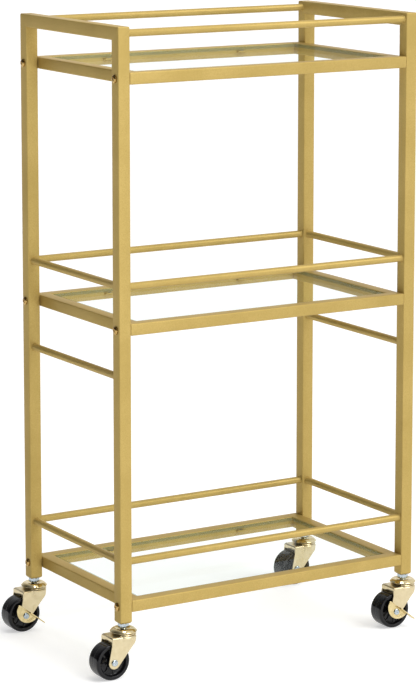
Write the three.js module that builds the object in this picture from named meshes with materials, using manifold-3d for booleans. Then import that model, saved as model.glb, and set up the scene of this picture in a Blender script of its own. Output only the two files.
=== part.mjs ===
// Three-tier bar cart on swivel casters: two welded side frames, three glass shelves in tube frames,
// guard rods and four stem casters, two of them with brakes. Millimetres, +Z up.
import * as THREE from 'three';
import { mergeVertices } from 'three/addons/utils/BufferGeometryUtils.js';
import Module from 'manifold-3d';

const wasm = await Module();
wasm.setup();

// Overall frame
const CART_WIDTH = 476; // over the posts, along X
const CART_DEPTH = 274; // over the posts, along Y
const FRAME_TOP = 874;
const POST_BOTTOM = 74;
const TUBE = 18; // square tube of the side frames
const TUBE_WALL = 1.2;
const TUBE_CORNER = 1.8;
const POST_PLATE = 3; // welded in the foot of each post
const FIT_GAP = 0.3; // between pieces that touch

// Guard rods and side handles
const ROD_RADIUS = 5;
const ROD_WALL = 1;
const ROD_INSERT = 3; // how far a rod reaches inside a post's face
const GUARD_HEIGHTS = { top: 865, middle: 530, bottom: 157 };
const HANDLE_HEIGHT = 408;

// Shelves
const SHELF_TOPS = { top: 814, middle: 481, bottom: 104.5 };
const RAIL_HEIGHT = 16;
const RAIL_WIDTH = 18;
const RAIL_CORNER = 1.5;
const GLASS_THICKNESS = 5;
const GLASS_MARGIN = 1; // between the glass and its frame
const GLASS_DROP = 0.5; // glass top below the rail's top
const PAD_HEIGHT = 1; // bumper between a tab and the glass
const TAB_REACH = 6;
const TAB_LENGTH = 14;
const TAB_THICKNESS = 2;
const TAB_PLACES = [-110, 110]; // along X, on the front and back rails

// Shelf screws
const SCREW_RADIUS = 3;
const SCREW_HEAD_RADIUS = 5.5;
const SCREW_HEAD_HEIGHT = 3.2;
const SCREW_REACH = 30; // from the post's outer face
const SCREW_DROP = 8; // below the shelf's top
const SCREW_HOLE = SCREW_RADIUS + 0.4;

// Caster
const WHEEL_RADIUS = 25;
const WHEEL_WIDTH = 24;
const TRAIL = 22; // from the swivel axis back to the axle, along -X
const STEM_RADIUS = 4;
const STEM_TOP = 90;
const NUT_FLATS = 13;
const NUT_BOTTOM = 67.8;
const FORK_TOP = 59;
const PIN_FOOT = { bottom: 54, middle: 55.4, top: 56.6 }; // riveted end that carries the fork
const PIN_FOOT_RADIUS = 7.5;
const PIN_CHAMFER = 1; // at the stem's upper end
const FORK_SHEET = 2;
const FORK_WIDTH = 31; // over the legs
const FORK_TAIL = 25; // from the swivel axis to the trailing end
const TAIL_DROP = 7.5; // the trailing end's flange, below the crown's top
const CROWN_RADIUS = 18.5;
const LEG_FRONT_TOP = 13; // the legs' leading edge, from the swivel axis, where it leaves the crown
const LEG_FRONT_KNEE = [10, 50]; // X and height where that edge turns back towards the axle
const LEG_END_RADIUS = 8.5;
const LEG_END_SWEEP = THREE.MathUtils.degToRad(320); // where the round end meets that edge
const AXLE_RADIUS = 3;
const RIVET_RADIUS = 4.6;
const RIVET_HEIGHT = 2;
const BORE_CLEARANCE = 0.3;

// Brake lever
const LEVER_SHEET = 1.8;
const LEVER_SLOPE = THREE.MathUtils.degToRad(-38.5); // of its straight edge, down towards +X
const LEVER_EDGE_HEIGHT = 7.2; // straight edge above the axle
const LEVER_HALF_LENGTH = 18.4;
const LEVER_DEPTH = 17.2;
const LEVER_CENTRE = -1.5; // of the half-moon, along its straight edge
const LEVER_TIP_RADIUS = 3;
const PEDAL_START = -2;
const PEDAL_END = 28.5;
const PEDAL_REACH = 8;
const PEDAL_SHEET = 1.5;

// Facets round a full circle
const FINE = 20;
const MEDIUM = 12;
const COARSE = 8;

const FINISHES = {
  gold: { color: 0xd0b56c, roughness: 0.42, metalness: 0.75 },
  glass: { color: 0xe6efec, roughness: 0.03, metalness: 0, transparent: true, opacity: 0.35 },
  screw: { color: 0x7a5c2a, roughness: 0.35, metalness: 1 },
  zinc: { color: 0xc4ccd2, roughness: 0.25, metalness: 1 },
  brass: { color: 0xd8c690, roughness: 0.2, metalness: 1 },
  wheel: { color: 0x0c0c0e, roughness: 0.2, metalness: 0 },
};

const cart = new THREE.Group();

function addPiece(name, geometry, finish, parent = cart) {
  const piece = new THREE.Mesh(geometry, new THREE.MeshStandardMaterial(FINISHES[finish]));
  piece.name = name;
  parent.add(piece);
  return piece;
}

// ---- Solids: manifold joins and cuts what the three.js geometries give ----

function toSolid(geometry) {
  const bare = geometry.index ? geometry.clone() : geometry;
  bare.deleteAttribute('normal');
  bare.deleteAttribute('uv');
  const merged = mergeVertices(bare, 1e-4);
  const vertProperties = new Float32Array(merged.attributes.position.array);
  const triVerts = new Uint32Array(merged.index.array);
  return new wasm.Manifold(new wasm.Mesh({ numProp: 3, vertProperties, triVerts }));
}

function toGeometry(solid) {
  const mesh = solid.getMesh();
  const geometry = new THREE.BufferGeometry();
  geometry.setAttribute('position', new THREE.BufferAttribute(mesh.vertProperties, 3));
  geometry.setIndex(new THREE.BufferAttribute(mesh.triVerts, 1));
  return geometry;
}

function box(low, high) {
  const size = high.map((value, axis) => value - low[axis]);
  const centre = high.map((value, axis) => (value + low[axis]) / 2);
  return new THREE.BoxGeometry(...size).translate(...centre);
}

// A cylinder from one height to another along X, Y or Z, about a line through the given point.
function cylinder(axis, radius, from, to, [u, v], sides) {
  const geometry = new THREE.CylinderGeometry(radius, radius, to - from, sides);
  const middle = (from + to) / 2;
  if (axis === 'x') return geometry.rotateZ(-Math.PI / 2).translate(middle, u, v);
  if (axis === 'y') return geometry.translate(u, middle, v);
  return geometry.rotateX(Math.PI / 2).translate(u, v, middle);
}

// A turned piece about Z, from [radius, height] points that start and end on the axis.
function turned(points, sides) {
  const profile = points.map(([radius, height]) => new THREE.Vector2(radius, height));
  return new THREE.LatheGeometry(profile, sides).rotateX(Math.PI / 2);
}

function roundedRectangle(width, height, corner) {
  const x = width / 2;
  const y = height / 2;
  const outline = new THREE.Shape();
  outline.moveTo(corner - x, -y);
  outline.lineTo(x - corner, -y);
  outline.absarc(x - corner, corner - y, corner, -Math.PI / 2, 0);
  outline.lineTo(x, y - corner);
  outline.absarc(x - corner, y - corner, corner, 0, Math.PI / 2);
  outline.lineTo(corner - x, y);
  outline.absarc(corner - x, y - corner, corner, Math.PI / 2, Math.PI);
  outline.lineTo(-x, corner - y);
  outline.absarc(corner - x, corner - y, corner, Math.PI, 1.5 * Math.PI);
  return outline;
}

// Pushes an outline up from Z = 0.
function extruded(outline, length, segments) {
  return new THREE.ExtrudeGeometry(outline, {
    depth: length,
    bevelEnabled: false,
    curveSegments: segments,
  });
}

// ---- Side frames ----

// Square tube along +Z from 0 to its length, centred on the axis. Each mitred end slopes at 45
// degrees: the tube is longest on its -Y face.
function squareTube(length, mitredStart) {
  const section = roundedRectangle(TUBE, TUBE, TUBE_CORNER);
  section.holes.push(roundedRectangle(TUBE - 2 * TUBE_WALL, TUBE - 2 * TUBE_WALL, TUBE_CORNER / 2));
  const tube = extruded(section, length, 2);
  const points = tube.attributes.position;
  for (let i = 0; i < points.count; i += 1) {
    const inset = points.getY(i) + TUBE / 2;
    if (points.getZ(i) > length / 2) {
      points.setZ(i, length - inset);
    } else if (mitredStart) {
      points.setZ(i, inset);
    }
  }
  return tube;
}

const POST_X = (CART_WIDTH - TUBE) / 2;
const POST_Y = (CART_DEPTH - TUBE) / 2;
const SIDES = { left: -1, right: 1 };
const ENDS = { front: -1, back: 1 };

const ROD_HOLE = ROD_RADIUS + FIT_GAP;
const INNER_FACE_X = POST_X - TUBE / 2;
const INNER_FACE_Y = POST_Y - TUBE / 2;
const WALL_CUT = 3; // a cutter's reach to each side of the wall it goes through

// The hole in a side frame's inner face for the end of a front or back guard rod.
function guardHole(sideSign, endSign, height) {
  const wall = sideSign * INNER_FACE_X;
  const place = [endSign * POST_Y, height];
  return toSolid(cylinder('x', ROD_HOLE, wall - WALL_CUT, wall + WALL_CUT, place, MEDIUM));
}

// A post with its foot plate, the holes for the rods on its inner faces, and those of the screws.
function post(sideSign, endSign) {
  const centreX = sideSign * POST_X;
  const centreY = endSign * POST_Y;
  const tube = squareTube(FRAME_TOP - POST_BOTTOM, false)
    .rotateZ(endSign < 0 ? 0 : Math.PI)
    .translate(centreX, centreY, POST_BOTTOM);
  const plateHalf = (TUBE - TUBE_WALL) / 2;
  const plateLow = [centreX - plateHalf, centreY - plateHalf, POST_BOTTOM];
  const plateHigh = [centreX + plateHalf, centreY + plateHalf, POST_BOTTOM + POST_PLATE];
  const stemHole = cylinder(
    'z',
    STEM_RADIUS + BORE_CLEARANCE,
    POST_BOTTOM - WALL_CUT,
    POST_BOTTOM + 2 * WALL_CUT,
    [centreX, centreY],
    MEDIUM
  );
  let solid = toSolid(tube).add(toSolid(box(plateLow, plateHigh))).subtract(toSolid(stemHole));
  for (const height of Object.values(GUARD_HEIGHTS)) {
    solid = solid.subtract(guardHole(sideSign, endSign, height));
  }
  const wall = endSign * INNER_FACE_Y;
  for (const height of [GUARD_HEIGHTS.middle, GUARD_HEIGHTS.bottom, HANDLE_HEIGHT]) {
    const place = [centreX, height];
    const rodHole = cylinder('y', ROD_HOLE, wall - WALL_CUT, wall + WALL_CUT, place, MEDIUM);
    solid = solid.subtract(toSolid(rodHole));
  }
  for (const top of Object.values(SHELF_TOPS)) {
    const place = [centreY, top - SCREW_DROP];
    const screwHole = cylinder('x', SCREW_HOLE, centreX - TUBE, centreX + TUBE, place, COARSE);
    solid = solid.subtract(toSolid(screwHole));
  }
  return toGeometry(solid);
}

// The top rail lies along Y, longest on its upper face, and leaves a weld gap at each mitre.
function topRail(sideSign) {
  const weldGap = FIT_GAP * Math.SQRT2;
  const length = CART_DEPTH - 2 * weldGap;
  const tube = squareTube(length, true)
    .rotateX(-Math.PI / 2)
    .translate(sideSign * POST_X, -length / 2, FRAME_TOP - TUBE / 2);
  let solid = toSolid(tube);
  for (const endSign of Object.values(ENDS)) {
    solid = solid.subtract(guardHole(sideSign, endSign, GUARD_HEIGHTS.top));
  }
  return toGeometry(solid);
}

// A round tube between two places along one axis.
function rod(axis, from, to, [u, v]) {
  const outer = toSolid(cylinder(axis, ROD_RADIUS, from, to, [u, v], MEDIUM));
  const bore = toSolid(cylinder(axis, ROD_RADIUS - ROD_WALL, from - 1, to + 1, [u, v], MEDIUM));
  return toGeometry(outer.subtract(bore));
}

for (const [side, sideSign] of Object.entries(SIDES)) {
  for (const [end, endSign] of Object.entries(ENDS)) {
    addPiece(`post_${end}_${side}`, post(sideSign, endSign), 'gold');
  }
  addPiece(`top_rail_${side}`, topRail(sideSign), 'gold');
  const reach = INNER_FACE_Y + ROD_INSERT;
  const sideRods = {
    guard_middle: GUARD_HEIGHTS.middle,
    guard_bottom: GUARD_HEIGHTS.bottom,
    handle: HANDLE_HEIGHT,
  };
  for (const [use, height] of Object.entries(sideRods)) {
    addPiece(`${use}_${side}`, rod('y', -reach, reach, [sideSign * POST_X, height]), 'gold');
  }
}

for (const [level, height] of Object.entries(GUARD_HEIGHTS)) {
  const reach = INNER_FACE_X + ROD_INSERT;
  for (const [end, endSign] of Object.entries(ENDS)) {
    addPiece(`guard_${level}_${end}`, rod('x', -reach, reach, [endSign * POST_Y, height]), 'gold');
  }
}

// ---- Shelves ----

const SHELF_X = CART_WIDTH / 2 - TUBE - FIT_GAP;
const SHELF_Y = CART_DEPTH / 2;

// A rectangular ring with mitred corners. The profile's points are [inset from the outline, height].
function mitredRing(halfX, halfY, profile) {
  const corners = [[-1, -1], [1, -1], [1, 1], [-1, 1]];
  const positions = profile.flatMap(([inset, height]) =>
    corners.flatMap(([x, y]) => [x * (halfX - inset), y * (halfY - inset), height])
  );
  const index = [];
  for (let row = 0; row < profile.length; row += 1) {
    const next = (row + 1) % profile.length;
    for (let corner = 0; corner < 4; corner += 1) {
      const beside = (corner + 1) % 4;
      const [a, b] = [row * 4 + corner, row * 4 + beside];
      const [c, d] = [next * 4 + corner, next * 4 + beside];
      index.push(a, c, b, b, c, d);
    }
  }
  const ring = new THREE.BufferGeometry();
  ring.setAttribute('position', new THREE.Float32BufferAttribute(positions, 3));
  ring.setIndex(index);
  return ring;
}

// The section of a shelf rail, drawn inside its outer faces by the given wall.
function railProfile(wall, top) {
  const width = RAIL_WIDTH - 2 * wall;
  const height = RAIL_HEIGHT - 2 * wall;
  const outline = roundedRectangle(width, height, RAIL_CORNER - wall / 2);
  const middleHeight = top - RAIL_HEIGHT / 2;
  return outline.extractPoints(2).shape.map((point) => [point.x + RAIL_WIDTH / 2, middleHeight + point.y]);
}

function shelfFrame(top) {
  let solid = toSolid(mitredRing(SHELF_X, SHELF_Y, railProfile(0, top)));
  solid = solid.subtract(toSolid(mitredRing(SHELF_X, SHELF_Y, railProfile(TUBE_WALL, top))));
  for (const sideSign of Object.values(SIDES)) {
    for (const endSign of Object.values(ENDS)) {
      const wall = sideSign * SHELF_X;
      const place = [endSign * POST_Y, top - SCREW_DROP];
      const screwHole = cylinder('x', SCREW_HOLE, wall - WALL_CUT, wall + WALL_CUT, place, COARSE);
      solid = solid.subtract(toSolid(screwHole));
    }
  }
  const tabTop = top - GLASS_DROP - GLASS_THICKNESS - PAD_HEIGHT;
  const tabHold = TUBE_WALL / 2; // the weld's depth in the rail's wall
  for (const endSign of Object.values(ENDS)) {
    const root = endSign * (SHELF_Y - RAIL_WIDTH + tabHold);
    const tip = endSign * (SHELF_Y - RAIL_WIDTH - TAB_REACH);
    for (const place of TAB_PLACES) {
      const low = [place - TAB_LENGTH / 2, Math.min(root, tip), tabTop - TAB_THICKNESS];
      const high = [place + TAB_LENGTH / 2, Math.max(root, tip), tabTop];
      solid = solid.add(toSolid(box(low, high)));
    }
  }
  return toGeometry(solid);
}

// Pan-head screw along X, with its head on the post's outer face.
function shelfScrew(sideSign) {
  const headTop = SCREW_HEAD_HEIGHT;
  const screw = turned(
    [
      [0, -SCREW_REACH],
      [SCREW_RADIUS - 0.6, -SCREW_REACH],
      [SCREW_RADIUS, 1.2 - SCREW_REACH],
      [SCREW_RADIUS, FIT_GAP],
      [SCREW_HEAD_RADIUS, FIT_GAP],
      [SCREW_HEAD_RADIUS, headTop * 0.5],
      [SCREW_HEAD_RADIUS * 0.72, headTop * 0.9],
      [0, headTop],
    ],
    COARSE
  );
  return screw.rotateY((sideSign * Math.PI) / 2);
}

for (const [level, top] of Object.entries(SHELF_TOPS)) {
  addPiece(`shelf_frame_${level}`, shelfFrame(top), 'gold');
  const glassX = SHELF_X - RAIL_WIDTH - GLASS_MARGIN;
  const glassY = SHELF_Y - RAIL_WIDTH - GLASS_MARGIN;
  const glassTop = top - GLASS_DROP;
  const glass = box([-glassX, -glassY, glassTop - GLASS_THICKNESS], [glassX, glassY, glassTop]);
  addPiece(`glass_${level}`, glass, 'glass');
  for (const [side, sideSign] of Object.entries(SIDES)) {
    for (const [end, endSign] of Object.entries(ENDS)) {
      const screw = addPiece(`screw_${level}_${end}_${side}`, shelfScrew(sideSign), 'screw');
      screw.position.set((sideSign * CART_WIDTH) / 2, endSign * POST_Y, top - SCREW_DROP);
    }
  }
}

// ---- Casters, drawn about the swivel axis with the wheel trailing towards -X ----

const HUB_HALF_WIDTH = FORK_WIDTH / 2 - FORK_SHEET - FIT_GAP;

// Threaded stem from its riveted foot under the fork to its end inside the post, with its hexagon.
function stem() {
  const pin = turned(
    [
      [0, PIN_FOOT.bottom],
      [PIN_FOOT_RADIUS - 0.5, PIN_FOOT.bottom],
      [PIN_FOOT_RADIUS, PIN_FOOT.middle],
      [PIN_FOOT_RADIUS - 0.5, PIN_FOOT.top],
      [STEM_RADIUS, PIN_FOOT.top],
      [STEM_RADIUS, STEM_TOP - PIN_CHAMFER],
      [STEM_RADIUS - PIN_CHAMFER, STEM_TOP],
      [0, STEM_TOP],
    ],
    MEDIUM
  );
  const acrossCorners = NUT_FLATS / Math.cos(Math.PI / 6);
  const nutTop = POST_BOTTOM - FIT_GAP;
  const nut = cylinder('z', acrossCorners / 2, NUT_BOTTOM, nutTop, [0, 0], 6);
  return toGeometry(toSolid(pin).add(toSolid(nut)));
}

// Pressed cap over the ball race: a dished centre inside a rounded crest and a rolled lip.
function swivelHead() {
  const bore = STEM_RADIUS + BORE_CLEARANCE;
  const profile = [
    [bore, 63],
    [8.4, 63.4],
    [11.2, 65.4],
    [14.2, 65],
    [16.4, 63.2],
    [17.4, 62],
    [CROWN_RADIUS, 62.6],
    [CROWN_RADIUS, 63.8],
    [17, 65.4],
    [14.4, 67],
    [11.2, 67.4],
    [8, 65.8],
    [bore, 65.2],
    [bore, 63],
  ];
  return turned(profile, FINE);
}

// The crown seen from above: round over the ball race, with straight sides back to its square tail.
function crownOutline() {
  const halfWidth = FORK_WIDTH / 2;
  const start = Math.asin(halfWidth / CROWN_RADIUS);
  const outline = new THREE.Shape();
  outline.moveTo(-FORK_TAIL, -halfWidth);
  outline.absarc(0, 0, CROWN_RADIUS, start - Math.PI, Math.PI - start);
  outline.lineTo(-FORK_TAIL, halfWidth);
  return outline;
}

// A leg's face in X and height: straight sides that run into a round end about the axle.
function legOutline() {
  const outline = new THREE.Shape();
  outline.moveTo(-FORK_TAIL, FORK_TOP - FORK_SHEET / 2);
  outline.absarc(-TRAIL, WHEEL_RADIUS, LEG_END_RADIUS, Math.PI, LEG_END_SWEEP);
  outline.lineTo(...LEG_FRONT_KNEE);
  outline.lineTo(LEG_FRONT_TOP, FORK_TOP - FORK_SHEET / 2);
  return outline;
}

// Stands a plate drawn in X and height upright, with its faces at y = from and y = to.
function uprightPlate(outline, from, to, segments) {
  return extruded(outline, to - from, segments)
    .rotateX(Math.PI / 2)
    .translate(0, to, 0);
}

// One pressing: the crown, a leg down each side of the wheel and the flange at the trailing end.
function fork() {
  const crown = extruded(crownOutline(), FORK_SHEET, MEDIUM).translate(0, 0, FORK_TOP - FORK_SHEET);
  let solid = toSolid(crown);
  const outer = FORK_WIDTH / 2;
  const inner = outer - FORK_SHEET;
  solid = solid.add(toSolid(uprightPlate(legOutline(), -outer, -inner, COARSE)));
  solid = solid.add(toSolid(uprightPlate(legOutline(), inner, outer, COARSE)));
  const tailLow = [-FORK_TAIL, -outer, FORK_TOP - TAIL_DROP];
  const tailHigh = [FORK_SHEET - FORK_TAIL, outer, FORK_TOP];
  solid = solid.add(toSolid(box(tailLow, tailHigh)));
  const crownLow = FORK_TOP - FORK_SHEET - 1;
  const stemHole = cylinder('z', STEM_RADIUS + BORE_CLEARANCE, crownLow, FORK_TOP + 1, [0, 0], MEDIUM);
  const axlePlace = [-TRAIL, WHEEL_RADIUS];
  const axleHole = cylinder('y', AXLE_RADIUS + BORE_CLEARANCE, -outer - 1, outer + 1, axlePlace, MEDIUM);
  return toGeometry(solid.subtract(toSolid(stemHole)).subtract(toSolid(axleHole)));
}

// Riveted axle along Y; the front head stands further out where a brake lever is clamped under it.
function axle(leverSpace) {
  const back = FORK_WIDTH / 2 + FIT_GAP;
  const front = back + leverSpace;
  const profile = [
    [0, -back - RIVET_HEIGHT],
    [RIVET_RADIUS * 0.6, -back - RIVET_HEIGHT * 0.85],
    [RIVET_RADIUS, -back - RIVET_HEIGHT * 0.3],
    [RIVET_RADIUS, -back],
    [AXLE_RADIUS, -back],
    [AXLE_RADIUS, front],
    [RIVET_RADIUS, front],
    [RIVET_RADIUS, front + RIVET_HEIGHT * 0.3],
    [RIVET_RADIUS * 0.6, front + RIVET_HEIGHT * 0.85],
    [0, front + RIVET_HEIGHT],
  ];
  return turned(profile, MEDIUM).rotateX(Math.PI / 2);
}

// Moulded wheel: hub, thin recessed disc, rim and a tread with rounded shoulders.
function wheel() {
  const bore = AXLE_RADIUS + BORE_CLEARANCE;
  const half = WHEEL_WIDTH / 2;
  const side = [
    [bore, HUB_HALF_WIDTH],
    [7, HUB_HALF_WIDTH],
    [8, half - 5],
    [18.5, half - 5],
    [20, half - 0.6],
    [WHEEL_RADIUS - 1.8, half],
    [WHEEL_RADIUS - 0.4, half - 1],
    [WHEEL_RADIUS, half - 3.5],
  ];
  const mirrored = side.map(([radius, width]) => [radius, -width]).reverse();
  const profile = [...side, ...mirrored, side[0]].reverse();
  return turned(profile, FINE).rotateX(Math.PI / 2);
}

// Brake lever about the axle: a half-moon plate outside the leg with a ledge along its straight edge
// that runs on past the wheel as a pedal.
function brakeLever() {
  const radius = (LEVER_HALF_LENGTH ** 2 + LEVER_DEPTH ** 2) / (2 * LEVER_DEPTH);
  const centreHeight = radius - LEVER_DEPTH;
  const tipDrop = centreHeight + LEVER_TIP_RADIUS;
  const tipPlace = Math.sqrt((radius - LEVER_TIP_RADIUS) ** 2 - tipDrop ** 2);
  const sweep = Math.atan2(tipPlace, tipDrop);
  const halfMoon = new THREE.Shape();
  halfMoon.absarc(LEVER_CENTRE, centreHeight, radius, -Math.PI / 2 - sweep, sweep - Math.PI / 2);
  const [left, right] = [LEVER_CENTRE - tipPlace, LEVER_CENTRE + tipPlace];
  halfMoon.absarc(right, -LEVER_TIP_RADIUS, LEVER_TIP_RADIUS, sweep - Math.PI / 2, Math.PI / 2);
  halfMoon.absarc(left, -LEVER_TIP_RADIUS, LEVER_TIP_RADIUS, Math.PI / 2, Math.PI * 1.5 - sweep);
  const inner = FORK_WIDTH / 2 + FIT_GAP;
  const outer = inner + LEVER_SHEET;
  const plate = toSolid(uprightPlate(halfMoon, -outer, -inner, FINE));
  const ledgeLow = [PEDAL_START, -outer - PEDAL_REACH, -PEDAL_SHEET];
  const ledge = toSolid(box(ledgeLow, [PEDAL_END, -inner, 0]));
  const placed = toGeometry(plate.add(ledge))
    .translate(0, 0, LEVER_EDGE_HEIGHT)
    .rotateY(-LEVER_SLOPE);
  const bore = cylinder('y', AXLE_RADIUS + BORE_CLEARANCE, -outer - 1, 1 - inner, [0, 0], MEDIUM);
  return toGeometry(toSolid(placed).subtract(toSolid(bore)));
}

const BRAKED = ['back_left', 'front_right'];

for (const [side, sideSign] of Object.entries(SIDES)) {
  for (const [end, endSign] of Object.entries(ENDS)) {
    const place = `${end}_${side}`;
    const caster = new THREE.Group();
    caster.position.set(sideSign * POST_X, endSign * POST_Y, 0);
    cart.add(caster);
    addPiece(`caster_stem_${place}`, stem(), 'zinc', caster);
    addPiece(`swivel_head_${place}`, swivelHead(), 'brass', caster);
    addPiece(`fork_${place}`, fork(), 'brass', caster);
    const braked = BRAKED.includes(place);
    const running = new THREE.Group();
    running.position.set(-TRAIL, 0, WHEEL_RADIUS);
    caster.add(running);
    addPiece(`axle_${place}`, axle(braked ? LEVER_SHEET + FIT_GAP : 0), 'zinc', running);
    addPiece(`wheel_${place}`, wheel(), 'wheel', running);
    if (braked) {
      addPiece(`brake_lever_${place}`, brakeLever(), 'brass', running);
    }
  }
}

// The origin is on the floor, under the middle of the cart's outline.
const extent = new THREE.Box3().setFromObject(cart);
const middle = extent.getCenter(new THREE.Vector3());
cart.position.set(-middle.x, -middle.y, -extent.min.z);

export default cart;
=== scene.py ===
"""Three-tier bar cart in gold powder-coated tube with glass shelves and plated stem casters.

Shapes are drawn in millimetres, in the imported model's own frame, and turned to metres as each piece is
made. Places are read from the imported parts; the sizes below are those of the pieces themselves.
"""

import math

import bmesh
import bpy
from mathutils import Matrix, Vector


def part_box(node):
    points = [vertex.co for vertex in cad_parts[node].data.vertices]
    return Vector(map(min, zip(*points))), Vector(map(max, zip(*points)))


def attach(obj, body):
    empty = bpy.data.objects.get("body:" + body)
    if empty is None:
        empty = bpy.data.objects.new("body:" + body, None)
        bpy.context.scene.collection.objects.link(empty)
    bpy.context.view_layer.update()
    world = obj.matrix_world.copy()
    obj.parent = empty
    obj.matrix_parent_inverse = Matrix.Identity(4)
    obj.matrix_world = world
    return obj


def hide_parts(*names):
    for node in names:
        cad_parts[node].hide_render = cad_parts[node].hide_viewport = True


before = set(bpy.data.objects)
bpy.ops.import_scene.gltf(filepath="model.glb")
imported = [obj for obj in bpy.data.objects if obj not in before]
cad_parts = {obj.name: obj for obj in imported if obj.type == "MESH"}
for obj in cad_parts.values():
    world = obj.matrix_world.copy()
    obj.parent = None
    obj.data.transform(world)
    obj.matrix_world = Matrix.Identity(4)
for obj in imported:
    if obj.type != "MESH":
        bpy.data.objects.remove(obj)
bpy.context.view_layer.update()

MM = 0.001

# ---- Sizes, millimetres ----

TUBE = 18.0  # square tube of the side frames
TUBE_CORNER = 1.6
FOOT_BEVEL = 1.7  # ground at the post's foot
WELD_ROUND = 1.6  # outer corner of a welded mitre, ground round
STEM_BORE = 4.3
FOOT_PLATE = 3.0

RAIL_WIDTH = 18.0
RAIL_CORNER = 1.5
FRAME_GAP = 0.28  # drawn up by the screws, so that the frame's ends meet the posts
RAIL_ROUND = 0.5  # outer corner of the shelf frames
ROD_RADIUS = 5.0
WELD_FILLET = 0.8  # at each end of a rod

GLASS_CHAMFER = 0.5
GLASS_CORNER = 2.5
TAB_REACH = 6.0
TAB_LENGTH = 14.0
TAB_SHEET = 2.0
TAB_PLACES = (-110.0, 110.0)  # from the cart's middle, on the front and back rails
BUMPER_RADIUS = 2.6
BUMPER_HEIGHT = 1.0

SCREW_HEAD = 5.5
SCREW_HEAD_HEIGHT = 3.2
SCREW_SHANK = 3.0
SCREW_LENGTH = 30.0

FORK_TOP = 59.0
FORK_SHEET = 2.0
FORK_HALF = 15.5
FORK_TAIL = -25.0
FORK_BEND = 2.6
TAIL_LAP = 3.2  # the crown's end before the flange that is turned down
CROWN_RADIUS = 18.5
BOSS_TOP = 60.7
BOSS_RADIUS = 16.6
LEG_FRONT = 13.0
LEG_END = 8.5  # radius of the round end about the axle
TRAIL = -22.0
AXLE_HEIGHT = 25.0
WHEEL_HALF = 12.3
RIVET_RADIUS = 4.6
RIVET_HEIGHT = 2.0

LEVER_SHEET = 1.8
LEVER_SLOPE = math.radians(-38.5)
LEVER_EDGE = 7.2  # straight edge above the axle
LEVER_HALF = 18.4
LEVER_DEPTH = 17.2
LEVER_CENTRE = -1.5
LEVER_TIP = 3.0  # rounded corner of the plate
PEDAL_START = -2.0
PEDAL_END = 28.5
PEDAL_REACH = 8.0
PEDAL_SHEET = 1.5
FIT = 0.3  # clearance between a lever or rivet and the leg it lies against

STEM_THREAD = {"Radius": 4.0 * MM, "Length": 14.4 * MM, "Pitch": 1.25 * MM, "Depth": 0.6 * MM, "Rings": 90}
THREAD_MIDDLE = 81.6  # height of the middle of the thread above the floor
RACE_HEIGHT = 62.9

# ---- Light and camera ----

FLOOR_GLOW = 0.5
GLASS_MIRROR = 0.06  # share of the mirrored light that is kept
DARK_FLAG = (-0.45, -0.72, 0.53)  # toward a black flag that the plated caps mirror
KEY_WAY = (0.32, -0.64, 0.70)  # toward the key
FLOOR_REACH = 300.0  # metres
CAMERA_PLACE = (-1990.8, -3256.2, 1170.5)  # millimetres
CAMERA_YAW = 0.54746  # to the right of +Y, radians
CAMERA_PITCH = 0.14676  # downwards
CAMERA_LENS = 145.58484  # millimetres, on a sensor of the width below
CAMERA_SENSOR = 36.0
CAMERA_SHIFT = -0.2

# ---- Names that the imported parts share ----

ENDS = ("front", "back")
SIDES = ("left", "right")
LEVELS = ("top", "middle", "bottom")
BRAKED = ("back_left", "front_right")


def span(node):
    """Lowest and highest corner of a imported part, in millimetres."""
    low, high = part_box(node)
    return low / MM, high / MM


# ---- Shapes: lists of points in millimetres, and faces that point outwards ----


class Shape:
    """Points and faces that pieces are put together from, with a finish number for each face."""

    def __init__(self):
        self.points, self.faces, self.finishes = [], [], []

    def add(self, points, faces, finish=0):
        start = len(self.points)
        self.points += [tuple(p) for p in points]
        self.faces += [[start + i for i in face] for face in faces]
        self.finishes += [finish] * len(faces)
        return self

    def join(self, other, matrix=None):
        start = len(self.points)
        moved = other.points if matrix is None else [tuple(matrix @ Vector(p)) for p in other.points]
        self.points += moved
        self.faces += [[start + i for i in face] for face in other.faces]
        self.finishes += other.finishes
        return self


def skin(rings, looped=False, finish=0):
    """Faces between rings of equal length. Unless looped, the first and last ring are closed."""
    count = len(rings[0])
    points = [p for ring in rings for p in ring]
    faces = []
    for row in range(len(rings) if looped else len(rings) - 1):
        here, there = row * count, (row + 1) % len(rings) * count
        for i in range(count):
            j = (i + 1) % count
            faces.append([here + i, here + j, there + j, there + i])
    if not looped:
        faces.append(list(range(count))[::-1])
        faces.append([(len(rings) - 1) * count + i for i in range(count)])
    return Shape().add(points, faces, finish)


def arc(centre, radius, start, stop, steps):
    """Points on an arc, both ends included, in degrees."""
    out = []
    for i in range(steps + 1):
        turn = math.radians(start + (stop - start) * i / steps)
        out.append((centre[0] + radius * math.cos(turn), centre[1] + radius * math.sin(turn)))
    return out


def rounded_section(width, height, corner, steps=4):
    """A rounded rectangle about the origin, anticlockwise."""
    x, y = width / 2 - corner, height / 2 - corner
    out = []
    for centre, start in (((x, -y), -90), ((x, y), 0), ((-x, y), 90), ((-x, -y), 180)):
        out += arc(centre, corner, start, start + 90, steps)
    return out


def turned(profile, sides):
    """A turned solid about Z. The profile runs upwards from the axis to the axis, in radius and height."""
    rings = []
    for radius, height in profile:
        rings.append([
            (radius * math.cos(2 * math.pi * i / sides), radius * math.sin(2 * math.pi * i / sides), height)
            for i in range(sides)
        ])
    closed = profile[0] == profile[-1]
    return skin(rings[:-1] if closed else rings, looped=closed)


def along(axis, shape):
    """The shape with its Z axis turned onto X or Y."""
    turn = {
        "x": Matrix.Rotation(math.pi / 2, 4, "Y"),
        "y": Matrix.Rotation(-math.pi / 2, 4, "X"),
    }[axis]
    return Shape().join(shape, turn)


def moved(shape, x, y, z):
    return Shape().join(shape, Matrix.Translation((x, y, z)))


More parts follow.
